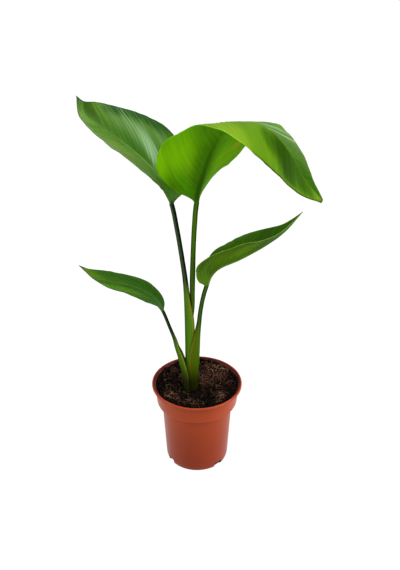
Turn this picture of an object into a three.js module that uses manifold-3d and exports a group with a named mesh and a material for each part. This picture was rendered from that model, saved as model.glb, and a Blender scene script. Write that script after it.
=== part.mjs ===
// A potted bird of paradise: a plastic nursery pot, the soil that fills it, and four leaves.
// Millimetres. +Z is up, +Y away from the viewer, +X to the viewer's right.
// The origin is the middle of the pot's underside, and the pot stands on z = 0.
import * as THREE from 'three';
import { mergeVertices } from 'three/addons/utils/BufferGeometryUtils.js';
import Module from 'manifold-3d';

const wasm = await Module();
wasm.setup();

// Pot: a thick lip, a collar under it, a step in to a tapered body, a rounded bottom edge
const potHeight = 121;
const potWall = 1.4;
const potFloor = 1.8;
const potSides = 52;
const lipRadius = 60;
const lipHeight = 3.6;
const lipInnerRadius = 56.9;
const lipEdge = 0.7;
const lipTopEdge = 1;
const collarTopRadius = 56.2;
const collarBottomRadius = 53.5;
const collarBottomHeight = 92;
const collarEdge = 0.6;
const bodyTopRadius = 46.8;
const bodyBottomRadius = 41.6;
const bodyBottomHeight = 6;
const stepEdge = 1;
const footRadius = 37;
const footSteps = 3;
const innerFootRadius = 36.4;

// Heights inside the pot where the collar's wall starts and where the lip starts
const innerStepHeight = collarBottomHeight + potWall;
const innerStepDrop = 1.6;
const innerLipDepth = 2.4;
const innerLipHeight = potHeight - innerLipDepth;

// Drainage slots through the rounded bottom edge, open below, in two pairs
const slotAngles = [209.5, 314.5, 29.5, 134.5];
const slotWidth = 11;
const slotHeight = 5.4;
const slotDepth = 9;
const slotRadius = 41.5;
const slotFoot = -1;

// Soil: its clearance in the pot, its lumpy top that dips to the stems and rises to the
// wall, most at the back, and the one hole where the sheaths stand
const soilGap = 0.45;
const soilTop = 112.8;
const soilRise = 3.6;
const soilSlope = 0.02;
const soilRelief = 0.9;
const soilWaves = [
  { strength: 0.5, alongX: 0.14, alongY: 0.09, shift: 0.6 },
  { strength: 0.35, alongX: 0.2, alongY: 0.2, shift: 1.9 },
  { strength: 0.3, alongX: 0.16, alongY: -0.23, shift: 1.6 },
];
const soilFootInset = 1;
const soilRings = 5;
const holeCentreX = -8.2;
const holeHalfLength = 11.1;
const holeHalfWidth = 9.7;
const holeFloor = 97.5;

// Leaves: thickness of the blade and of a sheath's margin, the ridge under the midrib,
// the blunt tip, the share of the blade that rounds out from the stalk, and the share
// over which the stalk's section turns into the blade's
const bladeThickness = 0.8;
const marginWall = 0.9;
const ridgeAtBase = 2.6;
const ridgeAtTip = 0.3;
const tipHalfWidth = 0.8;
const roundedShare = 0.075;
const blendShare = 0.035;

// Points across a section, from the near margin to the far one, and the ridge at each
const stalkAcross = [-1, -0.8, -0.6, -0.4, -0.2, 0, 0.2, 0.4, 0.6, 0.8, 1];
const bladeAcross = [-1, -0.74, -0.48, -0.24, -0.06, 0, 0.06, 0.24, 0.48, 0.74, 1];
const ridgeAcross = [0, 0, 0, 0, 0.4, 1, 0.4, 0, 0, 0, 0];
const stationsPerStalkRow = 3;
const closeStations = 3;

// Each leaf's stalk rises through rows: the middle of its section, the radii from back to
// mouth and from side to side, the wall at the back, half the angle that the section
// wraps, and its turn about the stalk. The rib then runs from the blade's base to its tip.
// The last lists run evenly along the blade: its turn about the rib, its half widths, the
// angle that each half folds up from flat, and the further curl of each half.
const upperLeft = {
  name: 'leaf_upper_left',
  colour: 0x3c6428,
  bladeStations: 26,
  stalk: [
    { at: [-9.6, 0, 98], radii: [5.6, 4.9], wall: 1.3, wrap: 160, turn: 90 },
    { at: [-9.6, 0, 150], radii: [5.6, 4.9], wall: 1.3, wrap: 160, turn: 90 },
    { at: [-8.9, 0, 205], radii: [6.6, 4.8], wall: 1.3, wrap: 158, turn: 90 },
    { at: [-9.7, 0, 234], radii: [6.3, 5.5], wall: 1.4, wrap: 128, turn: 92 },
    { at: [-12.5, 0.5, 263], radii: [4.4, 4.2], wall: 2.4, wrap: 126, turn: 95 },
    { at: [-15.3, 1.8, 287], radii: [3.4, 3.2], wall: 2.6, wrap: 146, turn: 99 },
    { at: [-19.9, 4, 321], radii: [3.1, 3], wall: 2.4, wrap: 148, turn: 106 },
    { at: [-24.4, 5.2, 351], radii: [3, 3], wall: 2.4, wrap: 146, turn: 114 },
  ],
  rib: [
    [-30.4, 6, 384],
    [-41, 15, 406],
    [-54, 18, 427],
    [-83, 17, 457],
    [-112, 12, 483],
    [-134.5, 0, 508],
    [-136, -12, 531.5],
  ],
  turn: [121, 122, 123, 130],
  farHalf: [17, 37.5, 48.5, 42, 30.5, 17.5, 0],
  nearHalf: [18, 36, 45, 39.5, 30.5, 14.5, 0],
  farFold: [42, 32, 27],
  nearFold: [37, 31, 18],
  curl: [0, 0, -3],
};

const centre = {
  name: 'leaf_centre',
  colour: 0x7aa632,
  bladeStations: 30,
  stalk: [
    { at: [-9, 0, 98], radii: [3, 2.9], wall: 2.4, wrap: 120, turn: -60 },
    { at: [-9, 0, 150], radii: [3, 2.9], wall: 2.4, wrap: 120, turn: -60 },
    { at: [-9.2, 0, 205], radii: [2.8, 2.7], wall: 2.3, wrap: 120, turn: -56 },
    { at: [-5.8, 0, 236], radii: [2.9, 2.7], wall: 2.2, wrap: 118, turn: -52 },
    { at: [-5.7, 0, 262], radii: [3.4, 3.3], wall: 2.7, wrap: 122, turn: -48 },
    { at: [-5.4, 0.4, 283], radii: [3.5, 3.5], wall: 2.8, wrap: 124, turn: -44 },
    { at: [-4.3, 1.6, 322], radii: [3.2, 3.2], wall: 2.6, wrap: 124, turn: -35 },
    { at: [-2.7, 3, 356], radii: [3.2, 3.2], wall: 2.6, wrap: 122, turn: -28 },
  ],
  rib: [
    [0, 4, 387],
    [8, -14.5, 430],
    [20, -24, 471],
    [37, -42.5, 507],
    [57, -62.5, 521.5],
    [79, -80, 520],
    [100, -96, 502],
    [119, -106, 471],
    [139, -108.5, 447.5],
  ],
  turn: [-21, -14, -21, -32, -35],
  farHalf: [18, 54, 60.5, 51, 53.5, 45.5, 28.5, 4],
  nearHalf: [8, 37.5, 47.5, 51, 46, 30, 22.5, 1.5],
  farFold: [26, 4, -10.5, -7.5],
  nearFold: [46, 18, 3, 9],
  curl: [5, -4, -9.5, -7.5],
};

const right = {
  name: 'leaf_right',
  colour: 0x55752c,
  bladeStations: 20,
  stalk: [
    { at: [-6.3, 0, 98], radii: [8.5, 7.2], wall: 1.6, wrap: 122, turn: -90 },
    { at: [-6.3, 0, 127], radii: [8.5, 7.2], wall: 1.6, wrap: 122, turn: -90 },
    { at: [-5.6, 0, 150], radii: [8.5, 7.4], wall: 1.7, wrap: 122, turn: -90 },
    { at: [-3.8, 0, 175], radii: [7.8, 7.2], wall: 2, wrap: 122, turn: -90 },
    { at: [-1.2, -0.2, 194], radii: [5.8, 5.8], wall: 2.6, wrap: 122, turn: -90 },
    { at: [2, -0.6, 213], radii: [3.7, 3.6], wall: 2.7, wrap: 134, turn: -89 },
    { at: [4.3, -2.2, 234], radii: [3.1, 3], wall: 2.4, wrap: 146, turn: -88 },
    { at: [7.5, -5.3, 256], radii: [3, 2.9], wall: 2.3, wrap: 146, turn: -86 },
  ],
  rib: [
    [12, -9, 276.5],
    [18, -9, 293],
    [29.5, -13, 307],
    [55, -11.5, 318.5],
    [86.5, -4.5, 334],
    [109, -1.5, 351.5],
    [129.5, 5, 374.5],
  ],
  turn: [-82, -71, -92, -84.5],
  farHalf: [11.5, 28.5, 26, 26.5, 18.5, 9, 0],
  nearHalf: [11, 22.5, 27.5, 26, 19, 8.5, 0],
  farFold: [50, 56, 41],
  nearFold: [46, 50, 36.5],
  curl: [0, 0, -3],
};

const left = {
  name: 'leaf_left',
  colour: 0x4f7330,
  bladeStations: 18,
  stalk: [
    { at: [-8.8, 0, 98], radii: [9.8, 8.8], wall: 1.6, wrap: 76, turn: 90 },
    { at: [-8.8, 0, 127], radii: [9.8, 8.8], wall: 1.6, wrap: 78, turn: 90 },
    { at: [-12.2, 0, 145], radii: [9.3, 8.2], wall: 1.9, wrap: 84, turn: 90 },
    { at: [-18.4, 0, 164], radii: [7.4, 6.6], wall: 2.4, wrap: 92, turn: 90 },
    { at: [-24.6, -0.4, 178], radii: [4.6, 4.4], wall: 2.8, wrap: 104, turn: 91 },
    { at: [-29.1, -1.2, 192], radii: [2.7, 2.7], wall: 2.2, wrap: 138, turn: 93 },
    { at: [-34.6, -3.6, 210], radii: [2.2, 2.2], wall: 1.8, wrap: 146, turn: 96 },
  ],
  rib: [
    [-42.5, -8, 237],
    [-50.5, -4, 252.5],
    [-69, -4, 267.5],
    [-90, -6, 277.5],
    [-112.5, -9.5, 285],
    [-132.5, -12.5, 295.5],
    [-145.5, -14, 309.5],
  ],
  turn: [100, 99, 98, 92],
  farHalf: [5.5, 18, 22, 20, 19.5, 11.5, 0],
  nearHalf: [5, 18, 23.5, 20.5, 19, 11.5, 0],
  farFold: [12.5, 4, 17],
  nearFold: [11, 6, 19.5],
  curl: [-5, -5.5, 0],
};

const radians = THREE.MathUtils.degToRad;

// Smooth value between evenly spaced knots, at t knots from the first.
function between(knots, t) {
  const last = knots.length - 1;
  const i = Math.min(Math.floor(t), last - 1);
  const s = t - i;
  const before = i > 0 ? knots[i - 1] : 2 * knots[0] - knots[1];
  const after = i + 2 <= last ? knots[i + 2] : 2 * knots[last] - knots[last - 1];
  const slope = (knots[i + 1] - before) * s;
  const bow = (2 * before - 5 * knots[i] + 4 * knots[i + 1] - after) * s ** 2;
  const swing = (3 * knots[i] - before - 3 * knots[i + 1] + after) * s ** 3;
  return knots[i] + (slope + bow + swing) / 2;
}

// Smooth value at a share of the way along a list of knots.
const along = (knots, share) => between(knots, share * (knots.length - 1));

// Point on a path of [x, y, z] knots.
const pointOn = (path, t) =>
  new THREE.Vector3(...[0, 1, 2].map((k) => between(path.map((knot) => knot[k]), t)));

// Places along a path, in knots, that split the way from one knot to the last evenly.
function evenPlaces(path, from, count) {
  const steps = 200;
  const to = path.length - 1;
  const lengths = [0];
  let last = pointOn(path, from);
  for (let i = 1; i <= steps; i++) {
    const next = pointOn(path, from + ((to - from) * i) / steps);
    lengths.push(lengths[i - 1] + next.distanceTo(last));
    last = next;
  }
  const places = [];
  for (let k = 0; k <= count; k++) {
    const goal = (lengths[steps] * k) / count;
    let i = 1;
    while (i < steps && lengths[i] < goal) i++;
    const part = (goal - lengths[i - 1]) / (lengths[i] - lengths[i - 1]);
    places.push(from + ((to - from) * (i - 1 + part)) / steps);
  }
  return places;
}

// Side and face directions at each point, square to the path. They start level at the
// blade's base, are carried along the path both ways, and are then turned about it.
function directions(points, baseIndex, turns) {
  const end = points.length - 1;
  const tangents = points.map((point, i) =>
    points[Math.min(i + 1, end)].clone().sub(points[Math.max(i - 1, 0)]).normalize(),
  );
  const away = new THREE.Vector3(0, 1, 0);
  const sides = [];
  sides[baseIndex] = tangents[baseIndex].clone().cross(away).normalize();
  const carry = (from, to) => {
    const lean = sides[from].dot(tangents[to]);
    sides[to] = sides[from].clone().addScaledVector(tangents[to], -lean).normalize();
  };
  for (let i = baseIndex + 1; i <= end; i++) carry(i - 1, i);
  for (let i = baseIndex - 1; i >= 0; i--) carry(i + 1, i);
  return points.map((point, i) => {
    const angle = radians(turns[i]);
    const side = sides[i].clone().applyAxisAngle(tangents[i], -angle);
    return { side, face: side.clone().cross(tangents[i]) };
  });
}

// Section of a sheath or stalk: a bowed wall, thick at its back and thin at both margins.
function stalkSection(middle, { side, face }, [radiusBack, radiusSide, wall, wrap]) {
  const outer = [];
  const inner = [];
  for (const v of stalkAcross) {
    const angle = radians(v * wrap);
    const thickness = marginWall + (wall - marginWall) * (1 - v * v);
    const shrink = 1 - thickness / Math.min(radiusBack, radiusSide);
    const arm = new THREE.Vector3()
      .addScaledVector(face, -radiusBack * Math.cos(angle))
      .addScaledVector(side, radiusSide * Math.sin(angle));
    outer.push(middle.clone().add(arm));
    inner.push(middle.clone().addScaledVector(arm, shrink));
  }
  return { outer, inner };
}

// Section of a blade: two thin halves folded up from the rib, with a ridge under it.
function bladeSection(middle, { side, face }, leaf, share) {
  const rounding = Math.sqrt(1 - (1 - Math.min(share / roundedShare, 1)) ** 2);
  const ridge = ridgeAtTip + (ridgeAtBase - ridgeAtTip) * (1 - share);
  const curl = radians(along(leaf.curl, share));
  const outer = [];
  const inner = [];
  bladeAcross.forEach((v, j) => {
    const sign = v < 0 ? -1 : 1;
    const half = along(sign > 0 ? leaf.farHalf : leaf.nearHalf, share);
    const fold = radians(along(sign > 0 ? leaf.farFold : leaf.nearFold, share));
    const reach = Math.max(half * rounding, tipHalfWidth) * Math.abs(v);
    const lean = fold + (curl * Math.abs(v)) / 2;
    const point = middle
      .clone()
      .addScaledVector(side, sign * reach * Math.cos(lean))
      .addScaledVector(face, reach * Math.sin(lean));
    const tilt = v === 0 ? 0 : fold + curl * Math.abs(v);
    const halfThickness = new THREE.Vector3()
      .addScaledVector(face, Math.cos(tilt))
      .addScaledVector(side, -sign * Math.sin(tilt))
      .multiplyScalar(bladeThickness / 2);
    inner.push(point.clone().add(halfThickness));
    outer.push(point.sub(halfThickness).addScaledVector(face, -ridge * ridgeAcross[j]));
  });
  return { outer, inner };
}

function meshOf(positions, faces) {
  const geometry = new THREE.BufferGeometry();
  geometry.setAttribute('position', new THREE.Float32BufferAttribute(positions, 3));
  geometry.setIndex(faces);
  return geometry;
}

// Closed skin over sections that hold as many points outside as inside. Both faces are
// split into triangles alike.
function skin(sections) {
  const across = sections[0].outer.length;
  const positions = sections.flatMap(({ outer, inner }) => [...outer, ...inner].flatMap((p) => p.toArray()));
  const outerAt = (i, j) => i * across * 2 + j;
  const innerAt = (i, j) => outerAt(i, j) + across;
  const faces = [];
  const quad = (a, b, c, d) => faces.push(a, c, b, a, d, c);
  const end = sections.length - 1;
  const far = across - 1;
  for (let i = 0; i < end; i++) {
    for (let j = 0; j < far; j++) {
      quad(outerAt(i, j), outerAt(i, j + 1), outerAt(i + 1, j + 1), outerAt(i + 1, j));
      quad(innerAt(i, j), innerAt(i + 1, j), innerAt(i + 1, j + 1), innerAt(i, j + 1));
    }
    quad(innerAt(i, 0), outerAt(i, 0), outerAt(i + 1, 0), innerAt(i + 1, 0));
    quad(outerAt(i, far), innerAt(i, far), innerAt(i + 1, far), outerAt(i + 1, far));
  }
  for (let j = 0; j < far; j++) {
    quad(outerAt(0, j), innerAt(0, j), innerAt(0, j + 1), outerAt(0, j + 1));
    quad(outerAt(end, j), outerAt(end, j + 1), innerAt(end, j + 1), innerAt(end, j));
  }
  return meshOf(positions, faces);
}

// Stations along a leaf: the place on its path in knots, and the share of the blade
// passed. Stations stand closer just past the blade's base.
function stationsOf(leaf, path) {
  const stations = [];
  for (let k = 0; k < leaf.stalk.length * stationsPerStalkRow; k++)
    stations.push({ place: k / stationsPerStalkRow, share: 0 });
  const places = evenPlaces(path, leaf.stalk.length, leaf.bladeStations);
  for (let k = 0; k < closeStations; k++) {
    const part = k / closeStations;
    stations.push({
      place: THREE.MathUtils.lerp(places[0], places[1], part),
      share: part / leaf.bladeStations,
    });
  }
  for (let k = 1; k <= leaf.bladeStations; k++)
    stations.push({ place: places[k], share: k / leaf.bladeStations });
  return stations;
}

// One leaf as it grew: sheath, stalk, midrib and blade in one body.
function leafGeometry(leaf) {
  const path = [...leaf.stalk.map((row) => row.at), ...leaf.rib];
  const stations = stationsOf(leaf, path);
  const points = stations.map(({ place }) => pointOn(path, place));
  const stalkTurns = [...leaf.stalk.map((row) => row.turn), leaf.turn[0]];
  const turns = stations.map(({ place, share }) =>
    share > 0 ? along(leaf.turn, share) : between(stalkTurns, place),
  );
  const frames = directions(points, leaf.stalk.length * stationsPerStalkRow, turns);
  const shapes = leaf.stalk.map((row) => [...row.radii, row.wall, row.wrap]);
  shapes.push(shapes[shapes.length - 1]);
  const sections = stations.map(({ place, share }, i) => {
    const shapePlace = Math.min(place, shapes.length - 1);
    const shape = shapes[0].map((value, k) => between(shapes.map((row) => row[k]), shapePlace));
    const stalk = stalkSection(points[i], frames[i], shape);
    if (share === 0) return stalk;
    const blade = bladeSection(points[i], frames[i], leaf, share);
    const blend = Math.min(share / blendShare, 1);
    const mix = (from, to) => from.map((point, j) => point.lerp(to[j], blend));
    return { outer: mix(stalk.outer, blade.outer), inner: mix(stalk.inner, blade.inner) };
  });
  return skin(sections);
}

// Solid of revolution about the pot's axis, from [radius, height] points.
const turned = (profile) =>
  new THREE.LatheGeometry(profile.map((point) => new THREE.Vector2(...point)), potSides).rotateX(Math.PI / 2);

function toSolid(geometry) {
  geometry.deleteAttribute('normal');
  geometry.deleteAttribute('uv');
  const merged = mergeVertices(geometry);
  return new wasm.Manifold(
    new wasm.Mesh({
      numProp: 3,
      vertProperties: new Float32Array(merged.attributes.position.array),
      triVerts: new Uint32Array(merged.index.array),
    }),
  );
}

// Pot: outside from the foot up, over the lip and down the inside to the floor.
function potGeometry() {
  const lipBottom = potHeight - lipHeight;
  const roundedFoot = Array.from({ length: footSteps + 1 }, (value, k) => {
    const angle = (Math.PI / 2) * (k / footSteps);
    const radius = THREE.MathUtils.lerp(footRadius, bodyBottomRadius, Math.sin(angle));
    return [radius, bodyBottomHeight * (1 - Math.cos(angle))];
  });
  const shell = turned([
    [0, 0],
    ...roundedFoot,
    [bodyTopRadius, collarBottomHeight - stepEdge],
    [bodyTopRadius + stepEdge, collarBottomHeight],
    [collarBottomRadius - collarEdge, collarBottomHeight],
    [collarBottomRadius, collarBottomHeight + collarEdge],
    [collarTopRadius, lipBottom],
    [lipRadius - lipEdge, lipBottom],
    [lipRadius, lipBottom + lipEdge],
    [lipRadius, potHeight - lipTopEdge],
    [lipRadius - lipTopEdge, potHeight],
    [lipInnerRadius + lipEdge, potHeight],
    [lipInnerRadius, potHeight - lipEdge],
    [collarTopRadius - potWall, innerLipHeight],
    [collarBottomRadius - potWall, innerStepHeight],
    [bodyTopRadius - potWall, innerStepHeight - innerStepDrop],
    [bodyBottomRadius - potWall, bodyBottomHeight],
    [innerFootRadius, potFloor],
    [0, potFloor],
  ]);
  let pot = toSolid(shell);
  for (const angle of slotAngles) {
    const slot = new THREE.BoxGeometry(slotDepth, slotWidth, slotHeight)
      .translate(slotRadius, 0, slotHeight / 2 + slotFoot)
      .rotateZ(radians(angle));
    pot = pot.subtract(toSolid(slot));
  }
  const mesh = pot.getMesh();
  return meshOf(mesh.vertProperties, Array.from(mesh.triVerts));
}

// Height of the soil's lumpy surface at a place, part of the way from the stems to the wall.
const soilHeight = (x, y, part) =>
  soilWaves.reduce(
    (height, wave) =>
      height + soilRelief * wave.strength * Math.sin(x * wave.alongX + y * wave.alongY + wave.shift),
    soilTop + soilRise * part * (2 - part) + soilSlope * y * part,
  );

// Soil: rings of points from the floor of the stems' hole, up its wall, out over the
// lumpy top, down a gap inside the pot's wall and in to the middle underneath.
function soilGeometry() {
  const collarInner = (z) =>
    THREE.MathUtils.mapLinear(z, innerStepHeight, innerLipHeight, collarBottomRadius, collarTopRadius) -
    potWall -
    soilGap;
  const circle = (radius, angle) => [radius * Math.cos(angle), radius * Math.sin(angle)];
  const holeEdge = (angle) => [
    holeCentreX + holeHalfLength * Math.cos(angle),
    holeHalfWidth * Math.sin(angle),
  ];
  const topEdge = (angle) => circle(collarInner(soilTop + soilRise / 2), angle);
  const surface = (angle, part) => {
    const [x, y] = holeEdge(angle).map((value, k) => THREE.MathUtils.lerp(value, topEdge(angle)[k], part));
    return [x, y, soilHeight(x, y, part)];
  };
  const underneath = [
    [collarInner(innerStepHeight + innerStepDrop), innerStepHeight + innerStepDrop],
    [bodyTopRadius - potWall - soilGap, innerStepHeight - innerStepDrop + soilGap],
    [bodyBottomRadius - potWall - soilGap, bodyBottomHeight + soilFootInset],
    [innerFootRadius - soilFootInset - soilGap, potFloor + soilGap],
  ];
  const ringMakers = [(angle) => [...holeEdge(angle), holeFloor]];
  for (let k = 0; k <= soilRings; k++) ringMakers.push((angle) => surface(angle, k / soilRings));
  for (const [radius, z] of underneath) ringMakers.push((angle) => [...circle(radius, angle), z]);
  const angles = Array.from({ length: potSides }, (value, k) => (2 * Math.PI * k) / potSides);
  const positions = ringMakers.flatMap((ring) => angles.flatMap(ring));
  positions.push(holeCentreX, 0, holeFloor, 0, 0, potFloor + soilGap);
  const holeMiddle = ringMakers.length * potSides;
  const lastRing = holeMiddle - potSides;
  const faces = [];
  for (let k = 0; k < potSides; k++) {
    const next = (k + 1) % potSides;
    faces.push(holeMiddle, k, next);
    for (let ring = 0; ring < lastRing; ring += potSides) {
      faces.push(ring + k, ring + potSides + k, ring + potSides + next);
      faces.push(ring + k, ring + potSides + next, ring + next);
    }
    faces.push(holeMiddle + 1, lastRing + next, lastRing + k);
  }
  return meshOf(positions, faces);
}

const plant = new THREE.Group();

function addPiece(name, geometry, colour, roughness) {
  geometry.computeVertexNormals();
  const material = new THREE.MeshStandardMaterial({ color: colour, roughness, metalness: 0 });
  const mesh = new THREE.Mesh(geometry, material);
  mesh.name = name;
  plant.add(mesh);
}

addPiece('pot', potGeometry(), 0x9b452b, 0.45);
addPiece('soil', soilGeometry(), 0x21170f, 0.95);
for (const leaf of [upperLeft, centre, right, left])
  addPiece(leaf.name, leafGeometry(leaf), leaf.colour, 0.4);

export default plant;
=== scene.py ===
import math
from collections import namedtuple

import bpy
import numpy as np
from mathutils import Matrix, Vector, noise


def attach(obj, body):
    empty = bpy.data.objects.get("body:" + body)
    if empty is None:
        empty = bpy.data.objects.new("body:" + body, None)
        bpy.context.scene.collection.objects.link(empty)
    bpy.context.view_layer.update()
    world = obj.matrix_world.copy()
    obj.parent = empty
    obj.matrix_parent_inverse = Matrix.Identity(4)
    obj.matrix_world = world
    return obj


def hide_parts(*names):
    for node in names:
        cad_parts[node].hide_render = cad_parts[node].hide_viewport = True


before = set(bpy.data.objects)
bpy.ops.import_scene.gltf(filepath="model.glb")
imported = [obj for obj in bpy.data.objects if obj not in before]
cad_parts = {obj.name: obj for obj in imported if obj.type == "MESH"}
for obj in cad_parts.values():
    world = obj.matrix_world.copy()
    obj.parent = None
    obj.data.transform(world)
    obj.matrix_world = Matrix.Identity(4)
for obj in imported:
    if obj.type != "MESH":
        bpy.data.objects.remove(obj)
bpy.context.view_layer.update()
mm = 0.001
print("frame loaded")


def addObject(name, data):
    thing = bpy.data.objects.new(name, data)
    bpy.context.scene.collection.objects.link(thing)
    return thing


# Camera, at the photo's angle: looks along +Y, tilted down
cameraSettings = {
    "place": (4.1, -1200, 1006),
    "tiltDown": 31.43,
    "focalPixels": 1111.2,
    "frameHeight": 570,
    "sensor": 36,
    "clipEnd": 50,
}


def addCamera(values):
    camera = addObject("camera", bpy.data.cameras.new("camera"))
    camera.location = Vector(values["place"]) * mm
    camera.rotation_euler = (math.radians(90 - values["tiltDown"]), 0, 0)
    camera.data.sensor_width = values["sensor"]
    camera.data.lens = values["sensor"] * values["focalPixels"] / values["frameHeight"]
    camera.data.clip_end = values["clipEnd"]
    bpy.context.scene.camera = camera


addCamera(cameraSettings)


# Linear colour from red, green and blue as a paint program shows them, 0 to 255
def paint(red, green, blue):
    shares = [c / 255 for c in (red, green, blue)]
    return tuple(c / 12.92 if c < 0.0405 else ((c + 0.055) / 1.055) ** 2.4 for c in shares)


# A node's output, so that node maths can be written as plain maths
class Field:
    def __init__(self, socket):
        self.socket = socket
        self.calc = calc if socket.type == "VALUE" else calcVector

    def __add__(self, other):
        return self.calc("ADD", self, other)

    def __sub__(self, other):
        return self.calc("SUBTRACT", self, other)

    def __truediv__(self, other):
        return self.calc("DIVIDE", self, other)

    def __mul__(self, other):
        if self.calc is calc or isinstance(other, tuple):
            return self.calc("MULTIPLY", self, other)
        return calcVector("SCALE", self, scale=other)

    def __abs__(self):
        return calc("ABSOLUTE", self)


def feed(socket, value):
    if isinstance(value, Field):
        value = value.socket
    if isinstance(value, bpy.types.NodeSocket):
        socket.id_data.links.new(value, socket)
    elif isinstance(value, tuple) and len(value) == 3 and len(socket.default_value) == 4:
        socket.default_value = (*value, 1)
    else:
        socket.default_value = value


# New node in the tree of the fields that it is fed with, its inputs in order
def fedNode(kind, values, **settings):
    tree = next(value.socket.id_data for value in values if isinstance(value, Field))
    node = tree.nodes.new(kind)
    for name, setting in settings.items():
        setattr(node, name, setting)
    for socket, value in zip(node.inputs, values):
        feed(socket, value)
    return node


def calc(operation, *values):
    return Field(fedNode("ShaderNodeMath", values, operation=operation).outputs[0])


def calcVector(operation, *values, scale=None):
    node = fedNode("ShaderNodeVectorMath", values, operation=operation)
    if scale is not None:
        feed(node.inputs["Scale"], scale)
    return Field(node.outputs["Value" if operation == "LENGTH" else "Vector"])


def multiplyAdd(value, factor, offset):
    return calc("MULTIPLY_ADD", value, factor, offset)


def blendColour(factor, a, b):
    node = fedNode("ShaderNodeMix", [factor], data_type="RGBA")
    feed(node.inputs[6], a)
    feed(node.inputs[7], b)
    return Field(node.outputs[2])


def smooth(value, low, high, outLow=0.0, outHigh=1.0):
    limits = (value, low, high, outLow, outHigh)
    return Field(fedNode("ShaderNodeMapRange", limits, interpolation_type="SMOOTHSTEP").outputs[0])


def noiseOn(vector, scale, detail=3.0, roughness=0.5, output="Fac"):
    node = fedNode("ShaderNodeTexNoise", [vector])
    for name, number in (("Scale", scale), ("Detail", detail), ("Roughness", roughness)):
        node.inputs[name].default_value = number
    return Field(node.outputs[output])


def split(vector):
    return [Field(output) for output in fedNode("ShaderNodeSeparateXYZ", [vector]).outputs]


def combine(x, y, z=0.0):
    return Field(fedNode("ShaderNodeCombineXYZ", (x, y, z)).outputs[0])


def bumpOn(height, distance, strength=1.0):
    tree = height.socket.id_data
    node = tree.nodes.new("ShaderNodeBump")
    for name, value in (("Strength", strength), ("Distance", distance), ("Height", height)):
        feed(node.inputs[name], value)
    return node.outputs[0]


def attribute(tree, name, output="Vector"):
    node = tree.nodes.new("ShaderNodeAttribute")
    node.attribute_name = name
    return Field(node.outputs[output])


def objectPlace(tree):
    return Field(tree.nodes.new("ShaderNodeTexCoord").outputs["Object"])


def newMaterial(name):
    material = bpy.data.materials.new(name)
    material.use_nodes = True
    return material, material.node_tree, material.node_tree.nodes["Principled BSDF"]


def setShader(shader, colour, roughness, specular, normal=None):
    feed(shader.inputs["Base Color"], colour)
    feed(shader.inputs["Roughness"], roughness)
    shader.inputs["Specular IOR Level"].default_value = specular
    if normal is not None:
        feed(shader.inputs["Normal"], normal)


# Studio, in metres: a white floor and a pale room, brighter above
studio = {
    "floorSize": 30,
    "floorColour": (0.06, 0.06, 0.06),
    "floorGlow": 0.97,
    "floorRoughness": 0.9,
    "roomAbove": 0.78,
    "roomBelow": 0.36,
    "roomBlend": (-0.5, 0.6),
}

# Name, place, aim, size and power of each soft box
softBoxes = [
    ("light_top", (0.1, 0.3, 1.75), (0, 0, 0.3), 1.2, 12),
    ("light_left", (-1.5, -0.35, 0.8), (0, 0, 0.2), 1.1, 8),
    ("light_right", (1.5, -0.3, 0.8), (0, 0, 0.2), 1.1, 25),
    ("light_front", (-0.3, -1.35, 1.4), (-0.05, 0, 0.4), 0.7, 9),
]


def addRoom(values):
    world = bpy.data.worlds.new("room")
    world.use_nodes = True
    tree = world.node_tree
    height = split(Field(tree.nodes.new("ShaderNodeTexCoord").outputs["Generated"]))[2]
    light = smooth(height, *values["roomBlend"], values["roomBelow"], values["roomAbove"])
    tree.nodes["Background"].inputs["Color"].default_value = (1, 1, 1, 1)
    feed(tree.nodes["Background"].inputs["Strength"], light)
    bpy.context.scene.world = world


def addSoftBox(name, place, aim, size, power):
    light = bpy.data.lights.new(name, "AREA")
    light.shape = "DISK"
    light.size = size
    light.energy = power
    lamp = addObject(name, light)
    lamp.location = place
    lamp.rotation_euler = (Vector(aim) - Vector(place)).to_track_quat("-Z", "Y").to_euler()


def addFloor(values):
    half = values["floorSize"] / 2
    corners = [(-half, -half, 0), (half, -half, 0), (half, half, 0), (-half, half, 0)]
    mesh = bpy.data.meshes.new("floor")
    mesh.from_pydata(corners, [], [(0, 1, 2, 3)])
    material, tree, shader = newMaterial("floor")
    setShader(shader, values["floorColour"], values["floorRoughness"], 0)
    shader.inputs["Emission Color"].default_value = (1, 1, 1, 1)
    shader.inputs["Emission Strength"].default_value = values["floorGlow"]
    mesh.materials.append(material)
    floor = addObject("floor", mesh)
    floor.visible_diffuse = False
    floor.visible_shadow = False


bpy.context.scene.view_settings.view_transform = "Standard"
addRoom(studio)
for box in softBoxes:
    addSoftBox(*box)
addFloor(studio)
print("camera and studio ready")


def addPiece(name, points, faces, material):
    mesh = bpy.data.meshes.new(name)
    mesh.from_pydata([tuple(p) for p in points], [], faces)
    mesh.validate()
    mesh.polygons.foreach_set("use_smooth", [True] * len(mesh.polygons))
    mesh.materials.append(material)
    return addObject(name, mesh)


# Turns a piece's modifiers into plain mesh
def settle(piece):
    bpy.context.view_layer.update()
    graph = bpy.context.evaluated_depsgraph_get()
    made = bpy.data.meshes.new_from_object(piece.evaluated_get(graph))
    piece.modifiers.clear()
    piece.data = made


# Cosine and sine at evenly spaced turns of a circle
def roundTurns(sides):
    angles = [2 * math.pi * k / sides for k in range(sides)]
    return [(math.cos(angle), math.sin(angle)) for angle in angles]


# Four-sided faces between rings of points; flip turns their outer side
def ringFaces(rings, sides, flip=False):
    faces = []
    for i in range(rings - 1):
        for k in range(sides):
            n = (k + 1) % sides
            corners = (i * sides + k, i * sides + n, (i + 1) * sides + n, (i + 1) * sides + k)
            faces.append((corners[0], *corners[:0:-1]) if flip else corners)
    return faces


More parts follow.
